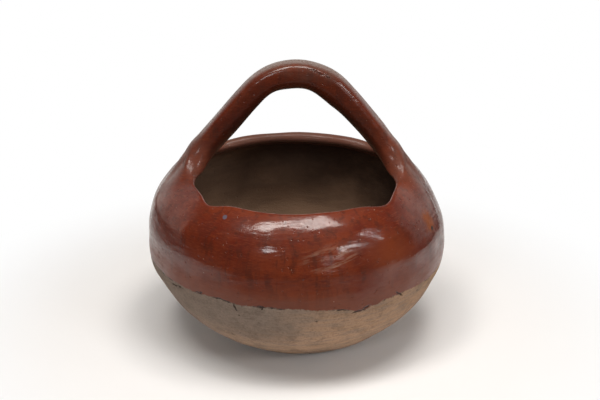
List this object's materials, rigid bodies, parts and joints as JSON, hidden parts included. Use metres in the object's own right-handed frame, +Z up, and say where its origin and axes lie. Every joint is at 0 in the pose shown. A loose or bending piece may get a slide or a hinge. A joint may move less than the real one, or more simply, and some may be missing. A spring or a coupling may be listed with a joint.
{
  "type": "handled pottery bowl",
  "caption": "Squat handmade clay basket bowl with a round open mouth, red-slipped shoulder, bare buff base and a fixed arched handle over its top.",
  "frame": {"origin": "centre of the flat foot, on the surface the bowl stands on", "axes": "+Z up through the bowl's axis; the handle spans along X; -Y is the front"},
  "size_m": [0.24, 0.24, 0.228],
  "materials": {
    "red_slip": "burnished",
    "buff_clay": "matte"
  },
  "bodies": {
    "root": {"base_bowl": "buff_clay", "lower_coil": "red_slip", "middle_coil": "red_slip", "upper_coil": "red_slip", "front_rim_coil": "red_slip", "back_rim_coil": "red_slip", "left_handle_foot": "red_slip", "right_handle_foot": "red_slip", "handle_bow": "red_slip"}
  },
  "joints": []
}
